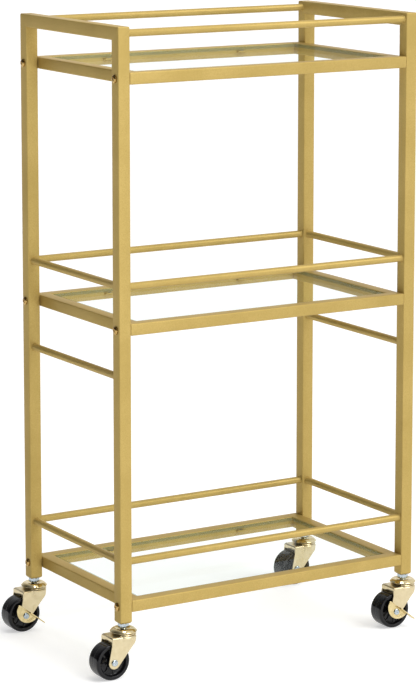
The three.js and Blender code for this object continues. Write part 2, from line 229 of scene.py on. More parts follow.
def offset_outline(outline, inset):
    """A closed outline moved inwards by its own corners' normals."""
    out = []
    for i, here in enumerate(outline):
        before, after = Vector(outline[i - 1]), Vector(outline[(i + 1) % len(outline)])
        a = (Vector(here) - before).normalized()
        b = (after - Vector(here)).normalized()
        normal = Vector((-(a.y + b.y), a.x + b.x))
        normal.normalize()
        stretch = min(1.6, 1 / max(0.3, abs(normal.dot(Vector((-a.y, a.x))))))
        out.append((here[0] + normal.x * inset * stretch, here[1] + normal.y * inset * stretch))
    return out


def plate(outline, low, high, edge, edge_finish=0):
    """A flat plate between two heights with eased edges, from an anticlockwise outline."""
    small, middle = offset_outline(outline, edge), offset_outline(outline, edge * 0.29)
    layers = [
        (small, low),
        (middle, low + edge * 0.29),
        (outline, low + edge),
        (outline, high - edge),
        (middle, high - edge * 0.29),
        (small, high),
    ]
    shape = skin([[(x, y, z) for x, y in ring] for ring, z in layers], finish=edge_finish)
    shape.finishes[-2:] = [0, 0]
    return shape


def filleted_corner(corner, inward, outward, radius, steps=4):
    """Points round a right-angled corner of a path, from one leg to the next, on a small arc."""
    corner, inward, outward = Vector(corner), Vector(inward), Vector(outward)
    centre = corner + (inward + outward) * radius
    out = []
    for i in range(steps + 1):
        turn = math.pi / 2 * i / steps
        out.append(centre - outward * radius * math.cos(turn) - inward * radius * math.sin(turn))
    return out


# ---- Tube work ----


def side_frame(side):
    """Two posts and a top rail, mitred, welded and ground to one bent-looking tube."""
    front_low, front_high = span(f"post_front_{side}")
    back_low, back_high = span(f"post_back_{side}")
    centre_x = (front_low.x + front_high.x) / 2
    front_y = (front_low.y + front_high.y) / 2
    back_y = (back_low.y + back_high.y) / 2
    foot, top = front_low.z, front_high.z - TUBE / 2
    section = rounded_section(TUBE, TUBE, TUBE_CORNER)

    def foot_rings(centre_y, outwards):
        bore = []
        for a, b in section:
            turn = math.atan2(b, a)
            bore.append((STEM_BORE * math.cos(turn), STEM_BORE * math.sin(turn)))
        shrink = 1 - 2 * FOOT_BEVEL / TUBE
        small = [(a * shrink, b * shrink) for a, b in section]
        half = [(a * (1 + 3 * shrink) / 4, b * (1 + 3 * shrink) / 4) for a, b in section]
        levels = (
            (bore, foot + FOOT_PLATE),
            (bore, foot),
            (small, foot),
            (half, foot + FOOT_BEVEL * 0.25),
            (section, foot + FOOT_BEVEL * 1.1),
        )
        return [[(centre_x + a, centre_y + outwards * b, z) for a, b in ring] for ring, z in levels]

    def corner_rings(centre_y, inward, outward, outwards):
        paths = []
        for a, b in section:
            radius = WELD_ROUND * (b + TUBE / 2) / TUBE + 0.15
            corner = (centre_x + a, centre_y + outwards * b, top + b)
            paths.append(filleted_corner(corner, inward, outward, radius))
        return [[path[step] for path in paths] for step in range(len(paths[0]))]

    down, up_y = (0, 0, -1), (0, 1, 0)
    rings = foot_rings(front_y, -1)
    rings += corner_rings(front_y, down, up_y, -1)
    rings += corner_rings(back_y, (0, -1, 0), down, 1)
    rings += foot_rings(back_y, 1)[::-1]
    return skin(rings)


def rod(node, axis):
    """Round tube between two posts, its ends welded with a small fillet."""
    low, high = span(node)
    middle = (low + high) / 2
    half = (high.x - low.x) / 2 if axis == "x" else (high.y - low.y) / 2
    face = half - 3.0  # the rod goes this far into each post
    bead = [
        (ROD_RADIUS + WELD_FILLET, face + 0.2),
        (ROD_RADIUS + WELD_FILLET * 0.8, face - WELD_FILLET * 0.35),
        (ROD_RADIUS + WELD_FILLET * 0.3, face - WELD_FILLET * 0.9),
        (ROD_RADIUS, face - WELD_FILLET * 1.8),
    ]
    upper = [(0.01, half), (ROD_RADIUS - 0.6, half), (ROD_RADIUS, half - 0.6), (ROD_RADIUS, face + 0.2)]
    upper += bead
    profile = [(r, -h) for r, h in upper] + [(r, h) for r, h in reversed(upper)]
    return moved(along(axis, turned(profile, 40)), *middle)


def shelf_frame(level):
    """Four tubes mitred to a ring, with the tabs that the glass rests on welded inside."""
    low, high = span(f"shelf_frame_{level}")
    centre = (low + high) / 2
    half_x, half_y = (high.x - low.x) / 2 + FRAME_GAP, (high.y - low.y) / 2
    height = high.z - low.z
    section = rounded_section(RAIL_WIDTH, height, RAIL_CORNER)
    corners = (
        ((-1, -1), (0, 1), (1, 0)),
        ((1, -1), (-1, 0), (0, 1)),
        ((1, 1), (0, -1), (-1, 0)),
        ((-1, 1), (1, 0), (0, -1)),
    )
    rings = []
    for (sign_x, sign_y), inward, outward in corners:
        paths = []
        for a, b in section:
            inset = RAIL_WIDTH / 2 + a
            radius = RAIL_ROUND * (1 - inset / RAIL_WIDTH) + 0.15
            x, y = sign_x * (half_x - inset), sign_y * (half_y - inset)
            corner = (centre.x + x, centre.y + y, centre.z + b)
            paths.append(filleted_corner(corner, (*inward, 0), (*outward, 0), radius, 3))
        rings += [[path[step] for path in paths] for step in range(len(paths[0]))]
    shape = skin(rings, looped=True)
    glass_low = span(f"glass_{level}")[0]
    tab_top = glass_low.z - BUMPER_HEIGHT
    for sign in (-1, 1):
        inner = centre.y + sign * (half_y - RAIL_WIDTH)
        for place in TAB_PLACES:
            shape.join(tab(centre.x + place, inner, -sign, tab_top))
    return shape


def tab(x, wall, reach_sign, top):
    """A stamped tab with round free corners, its root welded to the rail's wall."""
    tip, root = TAB_REACH, -0.6
    outline = [(-TAB_LENGTH / 2, root), (TAB_LENGTH / 2, root)]
    outline += arc((TAB_LENGTH / 2 - 2.2, tip - 2.2), 2.2, 0, 90, 5)
    outline += arc((2.2 - TAB_LENGTH / 2, tip - 2.2), 2.2, 90, 180, 5)
    shape = plate(outline, -TAB_SHEET, 0, 0.35)
    weld = [(0.01, -6.6), (0.8, -6.4), (1.25, -5.6), (1.3, 5.6), (0.8, 6.4), (0.01, 6.6)]
    bead = along("x", turned(weld, 12))
    shape.join(moved(bead, 0, 0.2, -TAB_SHEET))
    turn = Matrix.Identity(4) if reach_sign > 0 else Matrix.Rotation(math.pi, 4, "Z")
    return Shape().join(shape, Matrix.Translation((x, wall, top)) @ turn)


def glass_sheet(level):
    """Float glass with seamed edges and dubbed corners."""
    low, high = span(f"glass_{level}")
    centre = (low + high) / 2
    outline = rounded_section(high.x - low.x, high.y - low.y, GLASS_CORNER, 6)
    outline = [(centre.x + x, centre.y + y) for x, y in outline]
    return plate(outline, low.z, high.z, GLASS_CHAMFER, edge_finish=1)


# ---- Casters, drawn about the swivel axis with the wheel trailing towards -X ----


def stem():
    """M8 stem: riveted foot, plain neck, hexagon with chamfered corners, and the pin in the post."""
    shape = turned(
        [
            (0.01, 54.0), (5.6, 54.0), (6.9, 54.5), (7.4, 55.4), (7.0, 56.5), (3.9, 56.6), (3.9, 67.9),
            (3.9, 73.6), (3.9, 74.4), (3.4, 75.0), (3.4, 88.6), (2.6, 90.0), (0.01, 90.0),
        ],
        40,
    )
    flat = 6.5
    rings = []
    for height, limit in ((67.8, 6.7), (68.35, 7.6), (73.15, 7.6), (73.7, 6.7)):
        ring = []
        for i in range(72):
            turn = 2 * math.pi * i / 72
            to_flat = flat / math.cos((turn + math.pi / 6) % (math.pi / 3) - math.pi / 6)
            radius = min(to_flat, limit)
            ring.append((radius * math.cos(turn), radius * math.sin(turn), height))
        rings.append(ring)
    return shape.join(skin(rings))


def swivel_head():
    """Pressed cap over the ball race: dished centre, high rounded crest and rolled lip."""
    outer = [(4.35, 65.2), (5.6, 65.2), (7.0, 65.45), (8.2, 66.1), (9.3, 66.85), (10.5, 67.3), (11.8, 67.4)]
    outer += [(13.2, 67.25), (14.6, 66.75), (15.8, 66.0), (16.8, 65.1), (17.5, 64.3), (18.1, 63.75)]
    outer += [(18.45, 63.3), (18.5, 62.9), (18.3, 62.55), (17.9, 62.4), (17.4, 62.5)]
    inner = [(16.6, 63.0), (15.4, 64.2), (13.8, 65.2), (11.8, 65.6), (10.2, 65.3), (8.6, 64.2), (7.0, 63.4)]
    inner += [(4.35, 63.2)]
    profile = (outer + inner)[::-1]
    return turned(profile + [profile[0]], 96)


def smooth_step(low, high, value):
    t = min(1.0, max(0.0, (value - low) / (high - low)))
    return t * t * (3 - 2 * t)


def leg_edges(height):
    """X of the trailing and leading edge of a leg at a height, about the swivel axis."""
    above = height - AXLE_HEIGHT
    tangent = -6.1  # where the leading edge leaves the round end
    if above < 0:
        back = TRAIL - math.sqrt(max(0.0, LEG_END**2 - above**2))
    else:
        back = TRAIL - LEG_END + (FORK_TAIL - TRAIL + LEG_END) * min(1.0, above / 27.0)
    if above < tangent:
        front = TRAIL + math.sqrt(max(0.0, LEG_END**2 - above**2))
    else:
        low_x = TRAIL + math.sqrt(LEG_END**2 - tangent**2)
        low_z, knee_x, knee_z = AXLE_HEIGHT + tangent, 10.0, 50.0
        if height < knee_z:
            front = low_x + (knee_x - low_x) * (height - low_z) / (knee_z - low_z)
        else:
            front = knee_x + (LEG_FRONT - knee_x) * (height - knee_z) / (FORK_TOP - knee_z)
    return back, front


def crown_half(x):
    """Half width of the crown at X: straight sides at the back, round over the race."""
    if x < -math.sqrt(CROWN_RADIUS**2 - FORK_HALF**2):
        return FORK_HALF
    return math.sqrt(max(0.0, CROWN_RADIUS**2 - x * x))


def boss(x, y):
    """The crown's height: a pressed ring stands up under the race."""
    radius = math.hypot(x, y)
    return FORK_TOP + (BOSS_TOP - FORK_TOP) * (1 - smooth_step(BOSS_RADIUS - 1.0, BOSS_RADIUS + 1.0, radius))


def fork_surface():
    """The outside of the pressing as a grid: up one leg, round the bend, over the crown and down."""
    columns = 36
    bend_z = FORK_TOP - FORK_BEND
    heights = [AXLE_HEIGHT - LEG_END + LEG_END * (1 - math.cos(math.pi / 2 * i / 8)) for i in range(9)]
    heights += [AXLE_HEIGHT + (bend_z - AXLE_HEIGHT) * i / 22 for i in range(1, 23)]
    rows = []
    for height in heights:
        back, front = leg_edges(height)
        swell = smooth_step(43.0, 56.0, height)
        row = []
        for i in range(columns + 1):
            x = back + (front - back) * i / columns
            row.append((x, -(FORK_HALF + (crown_half(x) - FORK_HALF) * swell), height))
        rows.append(row)
    edge = rows[-1]
    for i in range(1, 7):
        turn = math.pi / 2 * i / 6
        inset, rise = FORK_BEND * (1 - math.cos(turn)), FORK_BEND * math.sin(turn)
        start = FORK_TAIL + TAIL_LAP * i / 6
        rows.append([(max(start, x * (1 - 0.02 * i / 6)), y + inset, bend_z + rise) for x, y, z in edge])
    rim = rows[-1]
    crown_steps = 22
    for step in range(1, crown_steps + 1):
        share = step / crown_steps
        row = []
        for i, (x, y, z) in enumerate(rim):
            across = y * (1 - share)
            reach = math.sqrt(max(0.0, CROWN_RADIUS**2 - across**2)) - 0.25
            stretch = (i / columns) ** 1.5
            ahead = x + (max(x, reach) - LEG_FRONT * 0.98) * stretch if x > 0 else x
            row.append((ahead, across, boss(ahead, across)))
        rows.append(row)
    mirror = [[(x, -y, z) for x, y, z in row] for row in reversed(rows[:-1])]
    return rows + mirror


def fork_tail():
    """The trailing end, turned down between the legs with a rolled edge."""
    half, radius, low, top = FORK_HALF - FORK_SHEET + 0.4, 2.2, 51.5, FORK_TOP - 0.04
    profile = [(FORK_TAIL + 7.0, top)]
    profile += [(x, z) for x, z in arc((FORK_TAIL + radius, top - radius), radius, 90, 180, 6)]
    profile += [(FORK_TAIL, low + 0.6), (FORK_TAIL + 0.5, low)]
    inner = [(FORK_TAIL + 1.5, low), (FORK_TAIL + FORK_SHEET, low + 0.6)]
    inner += [(x, z) for x, z in arc((FORK_TAIL + radius + 1.0, FORK_TOP - radius - 1.0), 1.2, 180, 90, 4)]
    inner += [(FORK_TAIL + 7.0, FORK_TOP - FORK_SHEET)]
    outline = profile + inner
    rings = []
    for y, shrink in ((-half, 0.5), (-half + 0.5, 0.0), (half - 0.5, 0.0), (half, 0.5)):
        ring = offset_outline(outline, shrink) if shrink else outline
        rings.append([(x, y, z) for x, z in ring])
    return skin(rings)


def axle(front, back):
    """Axle pin with a domed rivet head at each end, between the outer faces of the legs."""

    def head(face, sign):
        steps = 7
        dome = [(0.01, face + sign * RIVET_HEIGHT * 0.62), (0.7, face + sign * RIVET_HEIGHT * 0.66)]
        dome += [(1.3, face + sign * RIVET_HEIGHT * 0.86)]
        for i in range(2, steps + 1):
            turn = math.pi / 2 * i / steps
            rise = 0.35 + (RIVET_HEIGHT - 0.35) * math.cos(turn)
            dome.append((RIVET_RADIUS * math.sin(turn), face + sign * rise))
        return dome + [(RIVET_RADIUS, face + sign * 0.1), (RIVET_RADIUS - 0.3, face), (3.0, face)]

    profile = head(front, -1) + head(back, 1)[::-1]
    return along("y", turned(profile, 40))


def wheel():
    """Moulded wheel: crowned tread with a parting line, rounded rim lip, dished disc and hub."""
    rim = WHEEL_HALF
    side = [(3.3, 13.1), (3.8, 13.2), (6.4, 13.2), (7.0, 12.8), (7.4, 10.0), (8.2, 7.4), (9.6, 6.7)]
    side += [(16.4, 7.2), (18.0, 7.9), (19.0, 9.6), (19.5, rim - 0.7), (20.2, rim - 0.15), (21.2, rim)]
    side += [(22.6, rim - 0.05), (23.6, rim - 0.2), (24.2, rim - 0.55), (24.6, rim - 1.1)]
    side += [(24.85, rim - 2.0), (24.95, rim - 5.0), (25.0, 1.2), (25.0, 0.35), (24.86, 0.15)]
    mirrored = [(r, -w) for r, w in reversed(side)]
    profile = (side + mirrored)[::-1]
    return along("y", turned(profile + [profile[0]], 96))


def brake_lever():
    """Half-moon plate on the leg's outside, joggled near its lower end, with a ledge that is the pedal."""
    radius = (LEVER_HALF**2 + LEVER_DEPTH**2) / (2 * LEVER_DEPTH)
    rise = radius - LEVER_DEPTH
    tip_x = math.sqrt((radius - LEVER_TIP) ** 2 - (rise + LEVER_TIP) ** 2)
    sweep = math.degrees(math.atan2(tip_x, rise + LEVER_TIP))
    inner_face = -(FORK_HALF + FIT)
    outer_face = -(FORK_HALF + FIT + LEVER_SHEET)
    left, right = LEVER_CENTRE - tip_x, LEVER_CENTRE + tip_x
    outline = arc((LEVER_CENTRE, rise), radius, -90 - sweep, sweep - 90, 48)
    outline += arc((right, -LEVER_TIP), LEVER_TIP, sweep - 90, 90, 8)[1:]
    straight = 24
    outline += [(right + (left - right) * i / straight, 0) for i in range(1, straight + 1)]
    outline += arc((left, -LEVER_TIP), LEVER_TIP, 90, 270 - sweep, 8)[1:-1]
    shape = Shape()
    small = offset_outline(outline, 0.45)
    layers = (
        (small, inner_face),
        (outline, inner_face - 0.4),
        (outline, outer_face + 0.4),
        (small, outer_face),
    )
    shape.join(skin([[(x, y, z) for x, z in ring] for ring, y in layers]))
    ledge = rounded_section(PEDAL_END - PEDAL_START, PEDAL_REACH + LEVER_SHEET, 2.0, 5)
    centre_x = (PEDAL_START + PEDAL_END) / 2
    centre_y = (outer_face - PEDAL_REACH + inner_face) / 2
    ledge = [(centre_x + x, centre_y + y) for x, y in ledge]
    shape.join(plate(ledge, -PEDAL_SHEET, 0, 0.4))
    for place in (9.2, 11.4):
        crease = turned([(0.01, -6.5), (0.45, -6.2), (0.6, 0), (0.45, 6.2), (0.01, 6.5)], 12)
        lean = Matrix.Rotation(math.radians(28), 4, "Y")
        shape.join(crease, Matrix.Translation((place, outer_face + 0.25, -6.8)) @ lean)
    sloped = Matrix.Rotation(-LEVER_SLOPE, 4, "Y") @ Matrix.Translation((0, 0, LEVER_EDGE))
    return Shape().join(shape, sloped)


# ---- Pieces in the scene ----


def to_mesh(name, shape, finishes):
    """A mesh in metres with merged doubles, outward normals and its finishes."""
    mesh = bpy.data.meshes.new(name)
    mesh.from_pydata([(x * MM, y * MM, z * MM) for x, y, z in shape.points], [], shape.faces)
    for finish in finishes:
        mesh.materials.append(finish)
    mesh.polygons.foreach_set("material_index", shape.finishes)
    clean(mesh)
    return mesh


def clean(mesh, merge=1e-6):
    work = bmesh.new()
    work.from_mesh(mesh)
    bmesh.ops.remove_doubles(work, verts=work.verts, dist=merge)
    bmesh.ops.dissolve_degenerate(work, edges=work.edges, dist=merge)
    bmesh.ops.recalc_face_normals(work, faces=work.faces)
    work.to_mesh(mesh)
    work.free()


def shade(mesh, angle):
    mesh.polygons.foreach_set("use_smooth", [True] * len(mesh.polygons))
    mesh.set_sharp_from_angle(angle=math.radians(angle))
    mesh.update()


def piece(name, shape, finishes, body, nodes=(), crease=38):
    """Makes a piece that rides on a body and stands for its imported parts."""
    mesh = to_mesh(name, shape, finishes)
    shade(mesh, crease)
    thing = bpy.data.objects.new(name, mesh)
    bpy.context.scene.collection.objects.link(thing)
    return settle(thing, body, nodes)


def settle(thing, body, nodes=()):
    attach(thing, body)
    if nodes:
        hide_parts(*nodes)
    return thing


def baked(thing):
    """Turns an object with modifiers into the plain mesh that they give."""
    bpy.context.view_layer.update()
    evaluated = thing.evaluated_get(bpy.context.evaluated_depsgraph_get())
    mesh = bpy.data.meshes.new_from_object(evaluated)
    mesh.name = thing.name
    thing.modifiers.clear()
    thing.data = mesh
    return thing


# ---- Finishes ----


def linear(colour):
    """An sRGB hex colour as linear RGBA."""
    parts = [int(colour[i : i + 2], 16) / 255 for i in (1, 3, 5)]
    return (*(c / 12.92 if c <= 0.04045 else ((c + 0.055) / 1.055) ** 2.4 for c in parts), 1.0)


def add(tree, kind, inputs=None, **settings):
    """Adds a node with its settings. Each input takes a value, a socket to link, or a list of sockets."""
    node = tree.nodes.new(kind)
    for key, value in settings.items():
        setattr(node, key, value)
    for key, value in (inputs or {}).items():
        for one in value if isinstance(value, list) else [value]:
            if isinstance(one, bpy.types.NodeSocket):
                tree.links.new(one, node.inputs[key])
            else:
                node.inputs[key].default_value = one
    return node


def new_finish(name):
    """An empty material with its output, and the piece's own coordinates."""
    finish = bpy.data.materials.new(name)
    finish.use_nodes = True
    tree = finish.node_tree
    tree.nodes.clear()
    return finish, tree, add(tree, "ShaderNodeTexCoord").outputs["Object"]


def wave_length(millimetres):
    """A noise texture's scale for features of this size."""
    return 1 / (millimetres * MM)


def gold_powder_coat():
    """Epoxy-polyester powder with brass flake, sprayed and baked: satin, warm, with a soft orange peel
    that breaks up highlights and a flake that glitters faintly. The flake is about 0.1 mm and is drawn
    at 1.4 mm so that it shows."""
    finish, tree, place = new_finish("gold_powder_coat")
    flake = add(tree, "ShaderNodeTexNoise", {"Vector": place, "Scale": wave_length(1.4), "Detail": 2.0})
    film = add(tree, "ShaderNodeTexNoise", {"Vector": place, "Scale": wave_length(60.0), "Detail": 3.0})
    blend = add(tree, "ShaderNodeMath", {
        0: flake.outputs["Fac"], 1: film.outputs["Fac"],
    }, operation="MULTIPLY")
    colour = add(tree, "ShaderNodeValToRGB", {"Fac": blend.outputs[0]})
    colour.color_ramp.elements[0].position = 0.1
    colour.color_ramp.elements[0].color = linear("#AE9554")
    colour.color_ramp.elements[1].position = 0.45
    colour.color_ramp.elements[1].color = linear("#BFA563")
    gloss = add(tree, "ShaderNodeMapRange", {"Value": flake.outputs["Fac"], "To Min": 0.34, "To Max": 0.46})
    peel = add(tree, "ShaderNodeTexNoise", {"Vector": place, "Scale": wave_length(2.2), "Detail": 1.0})
    bump = add(tree, "ShaderNodeBump", {
        "Height": peel.outputs["Fac"], "Strength": 0.25, "Distance": 0.04 * MM,
    })
    shader = add(tree, "ShaderNodeBsdfPrincipled", {
        "Base Color": colour.outputs["Color"],
        "Roughness": gloss.outputs["Result"],
        "Metallic": 0.3,
        "Specular IOR Level": 0.15,
        "Specular Tint": linear("#E0C68C"),
        "Coat Weight": 0.06,
        "Coat Roughness": 0.2,
        "Normal": bump.outputs["Normal"],
    })
    add(tree, "ShaderNodeOutputMaterial", {"Surface": shader.outputs["BSDF"]})
    return finish


def plating(name, dark, light, gloss_low, gloss_high, grain):
    """Electroplated pressed or turned steel: clean mirror-like metal whose gloss drifts a little where
    the current and the polishing were uneven. grain is the size of that drift in millimetres."""
    finish, tree, place = new_finish(name)
    drift = add(tree, "ShaderNodeTexNoise", {"Vector": place, "Scale": wave_length(grain), "Detail": 4.0})
    colour = add(tree, "ShaderNodeValToRGB", {"Fac": drift.outputs["Fac"]})
    colour.color_ramp.elements[0].position = 0.3
    colour.color_ramp.elements[0].color = linear(dark)
    colour.color_ramp.elements[1].position = 0.7
    colour.color_ramp.elements[1].color = linear(light)
    gloss = add(tree, "ShaderNodeMapRange", {
        "Value": drift.outputs["Fac"], "From Min": 0.3, "From Max": 0.7,
        "To Min": gloss_low, "To Max": gloss_high,
    })
    wave = add(tree, "ShaderNodeTexNoise", {
        "Vector": place, "Scale": wave_length(grain * 1.7), "Detail": 1.0,
    })
    bump = add(tree, "ShaderNodeBump", {
        "Height": wave.outputs["Fac"], "Strength": 0.05, "Distance": 0.05 * MM,
    })
    shader = add(tree, "ShaderNodeBsdfPrincipled", {
        "Base Color": colour.outputs["Color"],
        "Roughness": gloss.outputs["Result"],
        "Metallic": 1.0,
        "Normal": bump.outputs["Normal"],
    })
    add(tree, "ShaderNodeOutputMaterial", {"Surface": shader.outputs["BSDF"]})
    return finish


def clear_float_glass():
    """Float glass, fire-polished on both faces: colourless from above with the iron's faint green. It
    mirrors more at a low angle, held back so that the rails behind it stay in sight."""
    finish, tree, place = new_finish("clear_float_glass")
    draw = add(tree, "ShaderNodeTexNoise", {"Vector": place, "Scale": wave_length(150.0), "Detail": 1.0})
    colour = add(tree, "ShaderNodeValToRGB", {"Fac": draw.outputs["Fac"]})
    colour.color_ramp.elements[0].color = linear("#FAFCFB")
    colour.color_ramp.elements[1].color = linear("#FCFEFD")
    through = add(tree, "ShaderNodeBsdfTransparent", {"Color": colour.outputs["Color"]})
    mirror = add(tree, "ShaderNodeBsdfPrincipled", {
        "Base Color": linear("#F2F6F5"),
        "Roughness": 0.03,
        "Metallic": 1.0,
    })
    grazing = add(tree, "ShaderNodeFresnel", {"IOR": 1.52})
    share = add(tree, "ShaderNodeMath", {0: grazing.outputs[0], 1: GLASS_MIRROR}, operation="MULTIPLY")
    sheet = add(tree, "ShaderNodeMixShader", {
        0: share.outputs[0], 1: through.outputs[0], 2: mirror.outputs["BSDF"],
    })
    add(tree, "ShaderNodeOutputMaterial", {"Surface": sheet.outputs[0]})
    return finish


def ground_glass_edge():
    """The sheet's edge, seamed on a belt of about 120 grit: frosted, and green because light reaches it
    through the whole sheet."""
    finish, tree, place = new_finish("ground_glass_edge")
    grit = add(tree, "ShaderNodeTexNoise", {"Vector": place, "Scale": wave_length(0.6), "Detail": 2.0})
    colour = add(tree, "ShaderNodeValToRGB", {"Fac": grit.outputs["Fac"]})
    colour.color_ramp.elements[0].color = linear("#82968A")
    colour.color_ramp.elements[1].color = linear("#A2B6A9")
    bump = add(tree, "ShaderNodeBump", {
        "Height": grit.outputs["Fac"], "Strength": 0.4, "Distance": 0.05 * MM,
    })
    frost = add(tree, "ShaderNodeBsdfPrincipled", {
        "Base Color": colour.outputs["Color"],
        "Roughness": 0.45,
        "IOR": 1.52,
        "Normal": bump.outputs["Normal"],
    })
    through = add(tree, "ShaderNodeBsdfTransparent", {"Color": linear("#E6EDE8")})
    edge = add(tree, "ShaderNodeMixShader", {0: 0.15, 1: through.outputs[0], 2: frost.outputs["BSDF"]})
    add(tree, "ShaderNodeOutputMaterial", {"Surface": edge.outputs[0]})
    return finish


def moulded_black_plastic():
    """Injection-moulded black polypropylene from a polished tool: deep black with clear highlights and
    faint flow marks that run round the tread."""
    finish, tree, place = new_finish("moulded_black_polypropylene")
    flow = add(tree, "ShaderNodeTexNoise", {"Vector": place, "Scale": wave_length(7.0), "Detail": 3.0})
    colour = add(tree, "ShaderNodeValToRGB", {"Fac": flow.outputs["Fac"]})
    colour.color_ramp.elements[0].color = linear("#08080A")
    colour.color_ramp.elements[1].color = linear("#141417")
    gloss = add(tree, "ShaderNodeMapRange", {"Value": flow.outputs["Fac"], "To Min": 0.08, "To Max": 0.18})
    scuff = add(tree, "ShaderNodeTexNoise", {"Vector": place, "Scale": wave_length(1.1), "Detail": 2.0})
    bump = add(tree, "ShaderNodeBump", {
        "Height": scuff.outputs["Fac"], "Strength": 0.12, "Distance": 0.05 * MM,
    })
    shader = add(tree, "ShaderNodeBsdfPrincipled", {
        "Base Color": colour.outputs["Color"],
        "Roughness": gloss.outputs["Result"],
        "IOR": 1.49,
        "Specular IOR Level": 0.3,
        "Normal": bump.outputs["Normal"],
    })
    add(tree, "ShaderNodeOutputMaterial", {"Surface": shader.outputs["BSDF"]})
    return finish


def clear_silicone():
    """Cast clear silicone bumper: almost invisible under the sheet, with a faint cloud and a soft sheen."""
    finish, tree, place = new_finish("cast_clear_silicone")
    cloud = add(tree, "ShaderNodeTexNoise", {"Vector": place, "Scale": wave_length(2.5), "Detail": 2.0})
    colour = add(tree, "ShaderNodeValToRGB", {"Fac": cloud.outputs["Fac"]})
    colour.color_ramp.elements[0].color = linear("#EEF0EE")
    colour.color_ramp.elements[1].color = linear("#F8F9F8")
    through = add(tree, "ShaderNodeBsdfTransparent", {"Color": colour.outputs["Color"]})
    body = add(tree, "ShaderNodeBsdfPrincipled", {
        "Base Color": colour.outputs["Color"], "Roughness": 0.35, "IOR": 1.41,
    })
    shader = add(tree, "ShaderNodeMixShader", {0: 0.12, 1: through.outputs[0], 2: body.outputs["BSDF"]})
    add(tree, "ShaderNodeOutputMaterial", {"Surface": shader.outputs[0]})
    return finish


def matt_floor_paper():
    """Pale seamless paper, rolled out flat: matt, with a faint fibre."""
    finish, tree, place = new_finish("pale_seamless_paper")
    fibre = add(tree, "ShaderNodeTexNoise", {"Vector": place, "Scale": wave_length(12.0), "Detail": 3.0})
    colour = add(tree, "ShaderNodeValToRGB", {"Fac": fibre.outputs["Fac"]})
    colour.color_ramp.elements[0].color = linear("#D6D6D5")
    colour.color_ramp.elements[1].color = linear("#DADADA")
    shader = add(tree, "ShaderNodeBsdfPrincipled", {
        "Base Color": colour.outputs["Color"],
        "Roughness": 0.9,
        "Emission Color": linear("#FFFFFF"),
        "Emission Strength": FLOOR_GLOW,
    })
    add(tree, "ShaderNodeOutputMaterial", {"Surface": shader.outputs["BSDF"]})
    return finish


GOLD = gold_powder_coat()
GLASS = clear_float_glass()
GLASS_EDGE = ground_glass_edge()
CAP_BRASS = plating("polished_brass_plate", "#CBB684", "#E6D8B0", 0.05, 0.11, 9.0)
FORK_BRASS = plating("satin_brass_plate", "#CDBE98", "#D9CBA8", 0.26, 0.34, 7.0)
LEVER_BRASS = plating("yellow_brass_plate", "#C9B684", "#E2D1A2", 0.16, 0.24, 5.0)
ZINC = plating("bright_zinc_plate", "#98A4AC", "#C2CCD2", 0.07, 0.13, 3.0)
SCREW_BRASS = plating("antique_brass_plate", "#9A7A40", "#D2B272", 0.2, 0.3, 2.0)
BALL_STEEL = plating("hardened_ball_steel", "#A9ACAF", "#C8CBCE", 0.04, 0.09, 2.0)
WHEEL_BLACK = moulded_black_plastic()
BUMPER_SILICONE = clear_silicone()


# ---- What repeats, by Geometry Nodes ----

SOCKETS = {
    float: "NodeSocketFloat",
    int: "NodeSocketInt",
}


def new_tree(name, sizes):
    """A geometry tree with a mesh in, a mesh out and a named input for each size."""
    tree = bpy.data.node_groups.new(name, "GeometryNodeTree")
    tree.interface.new_socket("Geometry", in_out="INPUT", socket_type="NodeSocketGeometry")
    for label, value in sizes.items():
        socket = tree.interface.new_socket(label, in_out="INPUT", socket_type=SOCKETS[type(value)])
        socket.default_value = value
    tree.interface.new_socket("Finish", in_out="INPUT", socket_type="NodeSocketMaterial")
    tree.interface.new_socket("Geometry", in_out="OUTPUT", socket_type="NodeSocketGeometry")
    return tree, add(tree, "NodeGroupInput").outputs


def end_tree(tree, geometry, finish):
    """Realised, with its finish on."""
    real = add(tree, "GeometryNodeRealizeInstances", {"Geometry": geometry})
    painted = add(tree, "GeometryNodeSetMaterial", {"Geometry": real.outputs[0], "Material": finish})
    add(tree, "NodeGroupOutput", {"Geometry": painted.outputs[0]})
    return tree


